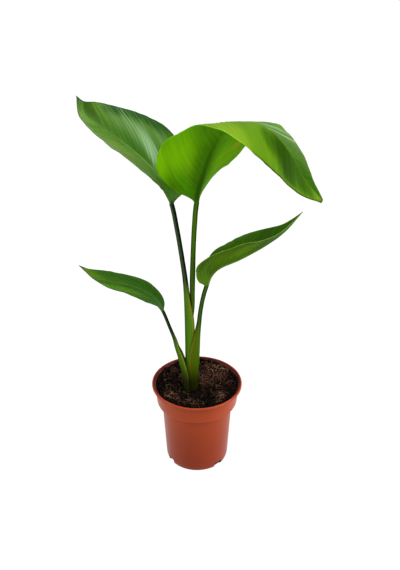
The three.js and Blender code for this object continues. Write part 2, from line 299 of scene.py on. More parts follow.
# Fans that close the first ring and the last, about two middle points that come after them
def fanFaces(rings, sides, flip=False):
    faces = []
    bottom, last = rings * sides, (rings - 1) * sides
    for k in range(sides):
        n = (k + 1) % sides
        low, high = (k, n) if flip else (n, k)
        faces.append((bottom, low, high))
        faces.append((bottom + 1, last + high, last + low))
    return faces


# Form that all the leaves share, in millimetres; pairs are at the blade's base and its tip
leafForm = {
    "bladeThickness": 0.5,
    "marginWall": 0.9,
    "ridge": (2.6, 0.3),
    "ridgeSpread": 0.55,
    "ribHalf": (3.0, 0.8),
    "ribLimit": 0.45,
    "channel": (1.5, 0.4),
    "tipHalfWidth": 0.5,
    "roundedShare": 0.075,
    "blendShare": 0.035,
    "pathSteps": 600,
    "stationsPerRow": 8,
    "baseStations": 26,
    "baseReach": 1.4,
    "baseCrowding": 1.6,
    "bladeStations": 190,
    "halfAcross": 40,
    "ribAcross": 9,
    "sheathRidges": 34,
    "ridgeShare": 0.008,
    "sheathEdge": 10,
    "scallop": 0.022,
    "scallopLength": 9,
    "sharpAngle": 55,
}

# How the blades' relief varies, in millimetres: along the veins and across, and over which
# distance it fades from the rib, the base and the tip
reliefForm = {
    "fade": (6, 15, 25),
    "foldStrength": (0.55, 1.1),
    "strengthPatch": (22, 45),
    "foldDrift": 1.1,
    "driftPatch": (26, 40),
    "swellPatch": (45, 30),
    "rippleLength": 14,
    "rippleFade": (10, 40),
    "edgePower": 4,
    "edgeCalm": 0.7,
}

# A patch of other tissue: on the under (0) or upper (1) side, its place along the rib and
# across it, its size along both, and whether it keeps to one half or is broken up by lines
patchOf = namedtuple("patch", "side run reach length width colour share half lined", defaults=(0, 0))

# A band of other tissue beside the margin of one half (1 or -1), from and to along the rib
bandOf = namedtuple("band", "side half start end width colour share lined", defaults=(0,))

# Each leaf as in the frame: rows up its stalk (place, radii with wall and wrap, turn), then
# its rib, turns, half widths, folds and curl, and the relief of its blade. Then its looks.
upperLeft = {
    "name": "leaf_upper_left",
    "stalk": [
        ((-9.6, 0, 98), (5.6, 4.9, 1.3, 160), 90),
        ((-9.6, 0, 150), (5.6, 4.9, 1.3, 160), 90),
        ((-8.9, 0, 205), (6.6, 4.8, 1.3, 158), 90),
        ((-9.7, 0, 234), (6.3, 5.5, 1.4, 128), 92),
        ((-12.5, 0.5, 263), (4.4, 4.2, 2.4, 126), 95),
        ((-15.3, 1.8, 287), (3.4, 3.2, 2.6, 146), 99),
        ((-19.9, 4, 321), (3.1, 3, 2.4, 148), 106),
        ((-24.4, 5.2, 351), (3, 3, 2.4, 146), 114),
    ],
    "rib": [
        (-30.4, 6, 384), (-41, 15, 406), (-54, 18, 427), (-83, 17, 457), (-112, 12, 483),
        (-134.5, 0, 508), (-136, -12, 531.5),
    ],
    "turn": [121, 122, 123, 130],
    "half": {1: [17, 37.5, 48.5, 42, 30.5, 17.5, 0], -1: [18, 36, 45, 39.5, 30.5, 14.5, 0]},
    "fold": {1: [42, 32, 27], -1: [37, 31, 18]},
    "curl": [0, 0, -3],
    "relief": {"seed": 3, "foldSpacing": 6.5, "foldHeight": 0.16, "swell": 0.8, "ripple": 0.9},
    "specular": 0.12,
    "roughness": (0.6, 0.37),
    "veins": (0.95, 0.8, 0.018),
    "tissue": (paint(92, 128, 50), paint(80, 122, 38)),
    "through": (1.4, 1.7, 0.6),
    "glow": 0.2,
    "streaks": 0.6, "streakScale": 0.6, "lineScale": 0.34,
    "darkLines": 0.2, "paleLines": 0.1,
    "ragged": 1.0,
    "ribLine": {
        "half": (1.6, 0.6), "fadeIn": (28, 60), "fadeOut": (62, 124),
        "colours": (paint(96, 128, 58), paint(112, 152, 72)),
    },
    "margin": {"width": 1.7, "colours": (paint(60, 96, 30), paint(22, 60, 0)), "share": 0.8},
    "tip": {"length": 7, "colour": paint(40, 52, 14)},
    "patches": [
        patchOf(1, 174, -8, 24, 18, (110, 150, 64), 0.8),
        patchOf(1, 168, 14, 28, 14, (50, 88, 0), 0.9),
        patchOf(1, 148, 16, 13, 10, (86, 128, 0), 0.85),
        patchOf(1, 104, -25, 60, 20, (102, 134, 58), 0.9),
        patchOf(1, 40, -14, 34, 16, (76, 122, 40), 0.8),
        patchOf(1, 24, 6, 22, 18, (62, 112, 20), 0.85, lined=0.3),
        patchOf(1, 93, 7, 36, 8, (58, 112, 14), 0.9),
        # Painted sheen: pale patches broken up by streaks stand in for the gloss of the light on the blade
        patchOf(1, 98, 20, 24, 16, (104, 142, 76), 0.4),
        patchOf(1, 100, 22, 16, 13, (138, 174, 120), 0.75, lined=0.9),
        patchOf(1, 84, 28, 14, 15, (136, 172, 118), 0.75, lined=0.9),
        patchOf(1, 72, 15, 11, 11, (160, 200, 146), 0.85, lined=0.6),
        patchOf(1, 60, 15, 13, 14, (170, 204, 160), 0.88, lined=0.3),
        patchOf(1, 52, 30, 20, 16, (112, 156, 84), 0.8, lined=0.4),
        patchOf(1, 128, 22, 16, 12, (104, 144, 70), 0.7, lined=0.4),
        patchOf(1, 120, 4, 22, 6, (70, 112, 16), 0.7),
    ],
    "bands": [
        bandOf(1, 1, 62, 144, 13, (20, 74, 4), 0.92, lined=0.7),
        bandOf(1, -1, 70, 175, 6, (112, 134, 84), 0.7),
    ],
    "stalkColours": {
        "dark": paint(0, 18, 0),
        "light": paint(50, 70, 34),
        "highlightStripes": [(-0.62, 0.26), (0.6, 0.26)],
        "sheathTop": -112,
        "sheathKeel": paint(28, 72, 2),
        "sheathFace": paint(72, 116, 2),
        "sheathMargin": paint(94, 118, 2),
        "edge": paint(128, 106, 28),
    },
}

centre = {
    "name": "leaf_centre",
    "stalk": [
        ((-9, 0, 98), (3, 2.9, 2.4, 120), -60),
        ((-9, 0, 150), (3, 2.9, 2.4, 120), -60),
        ((-9.2, 0, 205), (2.8, 2.7, 2.3, 120), -56),
        ((-5.8, 0, 236), (2.9, 2.7, 2.2, 118), -52),
        ((-5.7, 0, 262), (3.4, 3.3, 2.7, 122), -48),
        ((-5.4, 0.4, 283), (3.5, 3.5, 2.8, 124), -44),
        ((-4.3, 1.6, 322), (3.2, 3.2, 2.6, 124), -35),
        ((-2.7, 3, 356), (3.2, 3.2, 2.6, 122), -28),
    ],
    "rib": [
        (0, 4, 387), (8, -14.5, 430), (20, -24, 471), (37, -42.5, 507), (57, -62.5, 521.5),
        (79, -80, 520), (100, -96, 502), (119, -106, 471), (139, -108.5, 447.5),
    ],
    "turn": [-21, -14, -21, -32, -35],
    "half": {
        1: [18, 54, 60.5, 51, 53.5, 45.5, 28.5, 4],
        -1: [8, 37.5, 47.5, 51, 46, 30, 22.5, 1.5],
    },
    "fold": {1: [26, 4, -10.5, -7.5], -1: [46, 18, 3, 9]},
    "curl": [5, -4, -9.5, -7.5],
    "relief": {"seed": 11, "foldSpacing": 9, "foldHeight": 0.38, "swell": 0.8, "ripple": 0.9},
    "specular": 0.03,
    "roughness": (0.6, 0.4),
    "veins": (0.85, 0.3, 0.006),
    "tissue": (paint(107, 158, 0), paint(102, 139, 22)),
    "through": (1.55, 1.8, 0.4),
    "glow": 0.42,
    "streaks": 0.2, "streakScale": 0.5, "lineScale": 0.2,
    "darkLines": 0.07, "paleLines": 0.07,
    "ragged": 0.3,
    # The dark rib line underneath is painted shade; the bright yellow margin is partly painted glow
    "ribLine": {
        "half": (4.4, 1.2), "fadeIn": (-20, -10), "fadeOut": (40, 118),
        "colours": (paint(54, 108, 0), paint(74, 116, 12)),
    },
    "margin": {"width": 1.7, "colours": (paint(132, 186, 14), paint(152, 194, 46)), "share": 0.8},
    "tip": {"length": 3, "colour": paint(74, 66, 20)},
    "patches": [
        # Under side: bright patches up the bowl and dark ones at its foot and beside the rib are painted
        # light and painted shade
        patchOf(0, 100, 46, 48, 30, (154, 212, 0), 0.85),
        patchOf(0, 40, 54, 36, 18, (164, 224, 0), 0.85),
        patchOf(0, 14, 10, 30, 24, (94, 162, 0), 0.9),
        patchOf(0, 58, 2, 66, 16, (62, 112, 0), 0.75),
        patchOf(0, 80, -28, 26, 18, (110, 156, 2), 0.8, lined=0.5),
        patchOf(0, 100, -36, 12, 9, (158, 150, 24), 0.8),
        # Upper side: painted light on the flap and the margin strip, painted shade on the near half, painted
        # sheen on the far half, darker towards the tip
        patchOf(1, 172, 42, 34, 30, (130, 158, 34), 0.9),
        patchOf(1, 220, 34, 34, 22, (98, 136, 20), 0.9),
        patchOf(1, 256, 24, 40, 20, (96, 138, 10), 0.85),
        patchOf(1, 206, 15, 14, 12, (62, 104, 4), 0.8, half=1),
        patchOf(1, 232, 11, 32, 22, (38, 72, 0), 0.96, half=1),
        patchOf(1, 260, 4, 28, 14, (46, 84, 0), 0.9, half=1),
        patchOf(1, 204, -14, 46, 32, (96, 122, 66), 0.95, half=-1),
        patchOf(1, 196, -16, 34, 22, (160, 194, 138), 0.85, half=-1, lined=1),
        patchOf(1, 240, -8, 34, 24, (72, 108, 38), 0.85, half=-1),
        patchOf(1, 274, -4, 40, 22, (48, 88, 0), 0.95, half=-1),
    ],
    "bands": [
        bandOf(1, 1, 205, 285, 5, (100, 134, 14), 0.8),
        bandOf(1, 1, 212, 320, 2.4, (56, 74, 4), 0.9),
        bandOf(1, -1, 196, 320, 2, (56, 82, 16), 0.8),
    ],
    "stalkColours": {
        "dark": paint(8, 40, 0),
        "light": paint(60, 98, 8),
        "highlightStripes": [(0.3, 0.5), (-0.75, 0.25)],
        "sheathTop": -400,
        "sheathKeel": paint(34, 78, 16),
        "sheathFace": paint(74, 116, 22),
        "sheathMargin": paint(98, 124, 18),
        "edge": paint(80, 110, 30),
    },
}

right = {
    "name": "leaf_right",
    "stalk": [
        ((-6.3, 0, 98), (8.5, 7.2, 1.6, 122), -90),
        ((-6.3, 0, 127), (8.5, 7.2, 1.6, 122), -90),
        ((-5.6, 0, 150), (8.5, 7.4, 1.7, 122), -90),
        ((-3.8, 0, 175), (7.8, 7.2, 2, 122), -90),
        ((-1.2, -0.2, 194), (5.8, 5.8, 2.6, 122), -90),
        ((2, -0.6, 213), (3.7, 3.6, 2.7, 134), -89),
        ((4.3, -2.2, 234), (3.1, 3, 2.4, 146), -88),
        ((7.5, -5.3, 256), (3, 2.9, 2.3, 146), -86),
    ],
    "rib": [
        (12, -9, 276.5), (18, -9, 293), (29.5, -13, 307), (55, -11.5, 318.5), (86.5, -4.5, 334),
        (109, -1.5, 351.5), (129.5, 5, 374.5),
    ],
    "turn": [-82, -71, -92, -84.5],
    "half": {1: [11.5, 28.5, 26, 26.5, 18.5, 9, 0], -1: [11, 22.5, 27.5, 26, 19, 8.5, 0]},
    "fold": {1: [50, 56, 41], -1: [46, 50, 36.5]},
    "curl": [0, 0, -3],
    "relief": {"seed": 23, "foldSpacing": 7, "foldHeight": 0.2, "swell": 0.7, "ripple": 0.8},
    "specular": 0.04,
    "roughness": (0.5, 0.4),
    "veins": (0.9, 0.8, 0.012),
    "tissue": (paint(70, 110, 6), paint(48, 88, 2)),
    "through": (1.4, 1.7, 0.6),
    "glow": 0.2,
    "streaks": 0.4, "streakScale": 0.6, "lineScale": 0.4,
    "darkLines": 0.16, "paleLines": 0.12,
    "ragged": 0.8,
    "ribLine": {
        "half": (1.6, 0.5), "fadeIn": (-20, -10), "fadeOut": (70, 120),
        "colours": (paint(112, 146, 60), paint(70, 108, 24)),
    },
    "margin": {"width": 1.1, "colours": (paint(128, 158, 66), paint(106, 136, 50)), "share": 0.8},
    "tip": {"length": 5, "colour": paint(44, 52, 24)},
    "patches": [
        patchOf(0, 14, 10, 18, 14, (82, 120, 24), 0.7),
        patchOf(0, 44, 14, 26, 9, (82, 120, 8), 0.6),
        patchOf(0, 76, 14, 22, 9, (96, 136, 14), 0.8),
        patchOf(0, 108, 8, 30, 9, (66, 106, 10), 0.7),
        patchOf(1, 100, -10, 30, 12, (44, 82, 8), 0.6),
    ],
    "bands": [
        bandOf(1, -1, 20, 90, 5, (62, 104, 22), 0.7),
    ],
    "stalkColours": {
        "dark": paint(4, 32, 0),
        "light": paint(54, 94, 22),
        "highlightStripes": [(0.6, 0.28), (-0.5, 0.32)],
        "sheathTop": -64,
        "sheathKeel": paint(46, 78, 2),
        "sheathFace": paint(66, 92, 0),
        "sheathMargin": paint(88, 98, 2),
        "edge": paint(132, 100, 30),
    },
}

left = {
    "name": "leaf_left",
    "stalk": [
        ((-8.8, 0, 98), (9.8, 8.8, 1.6, 76), 90),
        ((-8.8, 0, 127), (9.8, 8.8, 1.6, 78), 90),
        ((-12.2, 0, 145), (9.3, 8.2, 1.9, 84), 90),
        ((-18.4, 0, 164), (7.4, 6.6, 2.4, 92), 90),
        ((-24.6, -0.4, 178), (4.6, 4.4, 2.8, 104), 91),
        ((-29.1, -1.2, 192), (2.7, 2.7, 2.2, 138), 93),
        ((-34.6, -3.6, 210), (2.2, 2.2, 1.8, 146), 96),
    ],
    "rib": [
        (-42.5, -8, 237), (-50.5, -4, 252.5), (-69, -4, 267.5), (-90, -6, 277.5), (-112.5, -9.5, 285),
        (-132.5, -12.5, 295.5), (-145.5, -14, 309.5),
    ],
    "turn": [100, 99, 98, 92],
    "half": {1: [5.5, 18, 22, 20, 19.5, 11.5, 0], -1: [5, 18, 23.5, 20.5, 19, 11.5, 0]},
    "fold": {1: [12.5, 4, 17], -1: [11, 6, 19.5]},
    "curl": [-5, -5.5, 0],
    "relief": {"seed": 31, "foldSpacing": 6, "foldHeight": 0.2, "swell": 0.8, "ripple": 0.8},
    "specular": 0.06,
    "roughness": (0.55, 0.4),
    "veins": (1.0, 0.8, 0.012),
    "tissue": (paint(66, 104, 10), paint(50, 92, 4)),
    "through": (1.4, 1.7, 0.6),
    "glow": 0.2,
    "streaks": 0.4, "streakScale": 0.6, "lineScale": 0.4,
    "darkLines": 0.18, "paleLines": 0.12,
    "ragged": 0.8,
    "ribLine": {
        "half": (1.1, 0.4), "fadeIn": (-20, -10), "fadeOut": (70, 120),
        "colours": (paint(96, 130, 50), paint(70, 112, 30)),
    },
    "margin": {"width": 0.8, "colours": (paint(34, 62, 12), paint(34, 62, 12)), "share": 0.7},
    "tip": {"length": 9, "colour": paint(34, 40, 18)},
    "patches": [
        patchOf(1, 12, 0, 24, 18, (36, 84, 0), 0.9),
        patchOf(1, 50, -3, 22, 13, (36, 82, 0), 0.85),
        patchOf(1, 80, -15, 36, 8, (76, 120, 20), 0.8),
        patchOf(1, 60, 13, 44, 7, (32, 78, 0), 0.7),
        patchOf(1, 112, 0, 26, 14, (80, 118, 10), 0.8),
    ],
    "bands": [],
    "stalkColours": {
        "dark": paint(0, 18, 0),
        "light": paint(30, 58, 18),
        "highlightStripes": [(-0.62, 0.26), (0.6, 0.26)],
        "sheathTop": -44,
        "sheathKeel": paint(30, 68, 0),
        "sheathFace": paint(72, 104, 2),
        "sheathMargin": paint(92, 118, 8),
        "edge": paint(124, 140, 56),
    },
}


# Smooth value between evenly spaced knots, at t knots from the first
def between(knots, t):
    knots = np.asarray(knots, float)
    last = len(knots) - 1
    padded = np.concatenate([[2 * knots[0] - knots[1]], knots, [2 * knots[-1] - knots[-2]]])
    i = np.clip(np.floor(t).astype(int), 0, last - 1)
    s = np.asarray(t) - i
    if knots.ndim > 1:
        s = s[:, None]
    before, here, ahead, after = padded[i], padded[i + 1], padded[i + 2], padded[i + 3]
    slope = (ahead - before) * s
    bow = (2 * before - 5 * here + 4 * ahead - after) * s**2
    swing = (3 * here - before - 3 * ahead + after) * s**3
    return here + (slope + bow + swing) / 2


def along(knots, share):
    return between(knots, np.asarray(share) * (len(knots) - 1))


def stepLengths(points):
    moves = np.linalg.norm(np.diff(points, axis=0), axis=1)
    return np.concatenate([[0], np.cumsum(moves)])


def placesAlong(path, start, shares):
    steps = np.linspace(start, len(path) - 1, leafForm["pathSteps"])
    lengths = stepLengths(between(path, steps))
    return np.interp(shares, lengths / lengths[-1], steps), lengths[-1]


def unit(v):
    return v / np.linalg.norm(v)


# Side and face directions, level at the blade's base, carried along and turned about the path
def carriedDirections(points, baseIndex, turns):
    end = len(points) - 1
    tangents = [unit(points[min(i + 1, end)] - points[max(i - 1, 0)]) for i in range(end + 1)]
    sides = [None] * (end + 1)
    sides[baseIndex] = unit(np.cross(tangents[baseIndex], (0, 1, 0)))
    for order in (range(baseIndex + 1, end + 1), range(baseIndex - 1, -1, -1)):
        for i in order:
            before = sides[i - 1] if i > baseIndex else sides[i + 1]
            sides[i] = unit(before - tangents[i] * before.dot(tangents[i]))
    out = []
    for side, tangent, turn in zip(sides, tangents, turns):
        angle = -math.radians(turn)
        side = side * math.cos(angle) + np.cross(tangent, side) * math.sin(angle)
        out.append((side, np.cross(side, tangent)))
    return np.array(out)


# Section of a sheath or stalk: a bowed wall, finely ridged outside
def stalkSection(middle, side, face, shape, t):
    radiusBack, radiusSide, wall, wrap = shape
    angle = np.radians(t * wrap)[:, None]
    thickness = leafForm["marginWall"] + (wall - leafForm["marginWall"]) * (1 - t**2)
    shrink = (1 - thickness / min(radiusBack, radiusSide))[:, None]
    ridges = 1 + leafForm["ridgeShare"] * np.cos(leafForm["sheathRidges"] * t)[:, None]
    arm = -face * radiusBack * np.cos(angle) + side * radiusSide * np.sin(angle)
    return middle + arm * ridges, middle + arm * shrink


# Coordinate that is the same all along a side vein: where on the rib the vein starts
def veinStart(leaf, run, size, length):
    lean, leanMore, bend = leaf["veins"]
    return run - (lean + leanMore * max(run, 0) / length) * size - bend * size**2


# Relief of the blade at a place: side veins, a slow swell and a rippled margin
def reliefAt(leaf, run, reach, half, length):
    relief, form = leaf["relief"], reliefForm
    size = abs(reach)
    vein = veinStart(leaf, run, size, length)
    calm = math.prod(min(far / fade, 1) for far, fade in zip((size, run, length - run), form["fade"]))

    def varied(x, y, shift):
        return noise.noise(Vector((x, y, relief["seed"] + shift)))

    def variedOver(patch, shift):
        return varied(vein / form[patch][0], reach / form[patch][1], shift)

    least, more = form["foldStrength"]
    strength = least + more * variedOver("strengthPatch", 0)
    drift = form["foldDrift"] * variedOver("driftPatch", 5)
    folds = math.sin(2 * math.pi * (vein / relief["foldSpacing"] + drift)) * strength * relief["foldHeight"]
    swell = variedOver("swellPatch", 9) * relief["swell"]
    edge = (size / max(half, 1)) ** form["edgePower"]
    ripple = varied(run / form["rippleLength"], 7 if reach > 0 else 70, 13) * relief["ripple"] * edge
    fadeBase, fadeTip = form["rippleFade"]
    ripple *= min((length - run) / fadeTip, 1) * min(run / fadeBase, 1)
    return calm * (folds * (1 - form["edgeCalm"] * edge) + swell) + ripple


def bladeSection(leaf, middle, side, face, share, length, t):
    form = leafForm
    rounding = math.sqrt(1 - (1 - min(share / form["roundedShare"], 1)) ** 2)

    def tapered(name):
        base, tip = form[name]
        return tip + (base - tip) * (1 - share)

    def here(knots):
        return float(along(knots, np.array([share]))[0])

    ridge, ribHalf, channel = tapered("ridge"), tapered("ribHalf"), tapered("channel")
    curl = math.radians(here(leaf["curl"]))
    tRib = form["ribAcross"] / form["halfAcross"]
    outer, inner, reaches, edges = [], [], [], []
    halves = {}
    for sign in (1, -1):
        spot = (share * length / form["scallopLength"], sign * 20, leaf["relief"]["seed"])
        half = here(leaf["half"][sign]) * rounding * (1 + form["scallop"] * noise.noise(Vector(spot)))
        halves[sign] = (max(half, form["tipHalfWidth"]), math.radians(here(leaf["fold"][sign])))
    for value in t:
        sign = -1 if value < 0 else 1
        half, fold = halves[sign]
        zone = min(ribHalf, form["ribLimit"] * half)
        size = abs(value)
        reach = zone * size / tRib if size <= tRib else zone + (half - zone) * (size - tRib) / (1 - tRib)
        lean = fold + curl * (reach / half) / 2
        tilt = fold + curl * (reach / half)
        slope = math.sqrt(reach**2 + channel**2)
        drop = 1 - channel / slope if reach > 0 else 0
        normal = unit(face * math.cos(tilt * drop) - side * (sign * math.sin(tilt * drop)))
        point = middle + side * (sign * reach * math.cos(lean)) + face * ((slope - channel) * math.sin(lean))
        point = point + normal * reliefAt(leaf, share * length, sign * reach, half, length)
        thick = normal * (form["bladeThickness"] / 2)
        under = ridge * math.exp(-((reach / (form["ridgeSpread"] * ribHalf)) ** 2))
        inner.append(point + thick)
        outer.append(point - thick - face * under)
        reaches.append(sign * reach)
        edges.append(half - reach)
    return np.array(outer), np.array(inner), reaches, edges


def leafPiece(leaf):
    form = leafForm
    stalk, shapes, stalkTurns = ([row[k] for row in leaf["stalk"]] for k in range(3))
    path = np.array(stalk + leaf["rib"], float)
    rows = len(stalk)
    stalkPlaces = np.arange(0, rows, 1 / form["stationsPerRow"])
    first = form["roundedShare"] * form["baseReach"]
    early = first * np.linspace(0, 1, form["baseStations"], endpoint=False) ** form["baseCrowding"]
    shares = np.concatenate([early, np.linspace(first, 1, form["bladeStations"])])
    bladePlaces, length = placesAlong(path, rows, shares)
    places = np.concatenate([stalkPlaces, bladePlaces])
    allShares = np.concatenate([np.zeros(len(stalkPlaces)), shares])
    points = between(path, places)
    turns = [between(stalkTurns + [leaf["turn"][0]], stalkPlaces), along(leaf["turn"], shares)]
    frames = carriedDirections(points, len(stalkPlaces), np.concatenate(turns))
    shapeAt = between(np.array(shapes + [shapes[-1]], float), np.minimum(places, rows))
    t = np.linspace(-1, 1, 2 * form["halfAcross"] + 1)
    count = len(t)
    runs = stepLengths(points)
    rings, place, part = [], [], []
    for i, share in enumerate(allShares):
        side, face = frames[i]
        outer, inner = stalkSection(points[i], side, face, shapeAt[i], t)
        reaches, edges, blade = t * shapeAt[i][1], (1 - abs(t)) * form["sheathEdge"], 0
        if share > 0:
            section = bladeSection(leaf, points[i], side, face, share, length, t)
            blade = min(share / form["blendShare"], 1)
            outer, inner, reaches, edges = (
                low + (high - low) * blade for low, high in zip((outer, inner, reaches, edges), section)
            )
        run = runs[i] - runs[len(stalkPlaces)]
        rings.append(np.concatenate([outer, inner[::-1]]))
        row = [(run, r, e) for r, e in zip(reaches, edges)]
        place.append(row + row[::-1])
        part.append([(v, 0, blade) for v in t] + [(v, 1, blade) for v in t[::-1]])
    positions = np.concatenate(rings) * mm
    around = 2 * count
    faces = ringFaces(len(rings), around, flip=True)
    last = (len(rings) - 1) * around
    for j in range(count - 1):
        k = around - 1 - j
        faces.append((j, j + 1, k - 1, k))
        faces.append((last + j, last + k, last + k - 1, last + j + 1))
    piece = addPiece(leaf["name"] + "_look", positions, faces, leafMaterial(leaf, length))
    mesh = piece.data
    for name, rowsOf in (("leafPlace", place), ("leafPart", part)):
        stored = mesh.attributes.new(name, "FLOAT_VECTOR", "POINT")
        stored.data.foreach_set("vector", np.array(rowsOf, np.float32).ravel())
    mesh.set_sharp_from_angle(angle=math.radians(form["sharpAngle"]))
    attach(piece, "root")
    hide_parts(leaf["name"])
    print(leaf["name"], "made,", len(mesh.polygons), "faces, blade", round(length), "mm")


# Grain of the tissue, in millimetres along the veins; noises have a stretch across them
leafGrain = {
    "driftScale": 0.045,
    "drift": 5,
    "fine": {"stretch": 0.05, "shift": 0, "detail": 4, "roughness": 0.62},
    "broad": {"stretch": 0.12, "shift": 9, "detail": 2, "roughness": 0.5},
    "lines": {"stretch": 0.07, "shift": 3, "detail": 3, "roughness": 0.6},
    "broadScale": 0.16,
    "veinSpacing": 1.5,
    "veinTone": 0.02,
    "veinRelief": 0.2,
    "darkLines": (0.46, 0.33),
    "paleLines": (0.5, 0.63),
    "wander": (1.4, 0.9),
    "patchEdge": (1.25, 0.35),
    "halfEdge": (-1, 1.2),
    "bandEdge": (1.1, 0.35),
    "bandEnds": 14,
    "marginEdge": 0.2,
    "ribEdge": (1.3, 0.4),
    "ribShares": (0.06, 0.9),
    "ribShade": -0.85,
    "tipRagged": 6,
    "tipPast": 4,
    "gloss": 0.14,
    "bump": 0.16,
    "bumpStrength": 0.8,
}

# Bands across a stalk or sheath, as shares of its half width, and its fibres
stalkGrain = {
    "stripeCore": 0.25,
    "keel": (0.05, 0.5),
    "margin": (0.6, 0.92),
    "edge": (0.93, 0.985),
    "inside": 0.6,
    "sheathBlend": (12, -22),
    "fibres": (0.03, 11),
    "fibreTone": (0.25, 0.75, 0.82, 1.16),
}

# Darker towards where the stalks leave the soil: heights in metres
stalkFoot = {
    "colour": paint(20, 18, 1),
    "heights": (0.164, 0.122),
    "share": 0.92,
}


# 1 on one side of the blade (0 under, 1 upper), 0 on the other
def onSide(upper, side):
    return upper if side == 1 else calc("SUBTRACT", 1.0, upper)


# Share of a soft patch that stretches along the side veins
def patchShare(leaf, tissuePlace, across, wander, patch, length):
    middle = (veinStart(leaf, patch.run, abs(patch.reach), length), patch.reach, 0)
    away = (tissuePlace - middle) / (patch.length, patch.width, 1)
    distance = calcVector("LENGTH", away) + wander
    share = smooth(distance, *leafGrain["patchEdge"], 0, patch.share)
    return share * smooth(across * patch.half, *leafGrain["halfEdge"]) if patch.half else share


# Share of a band beside one margin of the blade
def bandShare(run, reach, edge, wander, band):
    ends = leafGrain["bandEnds"]
    inside = smooth(run, band.start - ends, band.start + ends) * smooth(run, band.end + ends, band.end - ends)
    near = smooth(edge / band.width + wander, *leafGrain["bandEdge"], 0, band.share)
    return inside * near * smooth(reach * band.half, 0, 1)


# Stalk and sheath: edges painted dark as shade with pale stripes of painted highlight above, a yellower
# sheath with a dry, tan margin below
def stalkColour(colours, run, across, upper):
    grain = stalkGrain
    width = abs(across)
    colour = colours["dark"]
    # Painted highlight: pale stripes where the stalk catches the light, over edges painted dark as shade
    for middle, half in colours["highlightStripes"]:
        highlightShare = smooth(abs(across - middle), half, grain["stripeCore"] * half)
        colour = blendColour(highlightShare, colour, colours["light"])
    sheath = blendColour(smooth(width, *grain["keel"]), colours["sheathKeel"], colours["sheathFace"])
    sheath = blendColour(smooth(width, *grain["margin"]), sheath, colours["sheathMargin"])
    sheath = blendColour(upper * grain["inside"], sheath, colours["sheathMargin"])
    sheath = blendColour(smooth(width, *grain["edge"]), sheath, colours["edge"])
    start, end = (colours["sheathTop"] + far for far in grain["sheathBlend"])
    colour = blendColour(smooth(run, start, end), colour, sheath)
    alongFibre, acrossFibre = grain["fibres"]
    fibres = noiseOn(combine(run * alongFibre, across * acrossFibre), 1.0, 3)
    return colour * smooth(fibres, *grain["fibreTone"])
